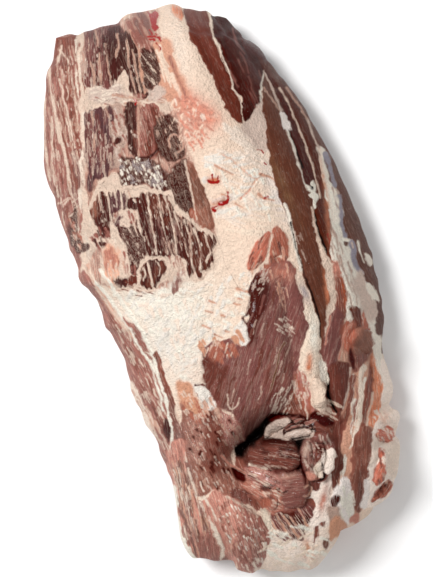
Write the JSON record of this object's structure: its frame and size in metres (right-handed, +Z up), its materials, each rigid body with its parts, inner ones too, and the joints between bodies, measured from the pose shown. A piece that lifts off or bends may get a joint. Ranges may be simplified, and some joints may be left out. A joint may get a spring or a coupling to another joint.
{
  "type": "boneless pork shoulder",
  "caption": "Raw boneless pork shoulder lying cut side up: layered lean, marbling, cream fat sheet and a boned-out pocket.",
  "frame": {"origin": "on the surface it rests on, under the middle of its box", "axes": "+Y along the length towards the rib end, +X across towards the thin layered flank, +Z up out of the cut side"},
  "size_m": [0.1686, 0.339, 0.086],
  "materials": {
    "raw_pork": "raw lean and fat, lightly wet"
  },
  "bodies": {
    "root": {"pork_shoulder": "raw_pork"}
  },
  "joints": []
}
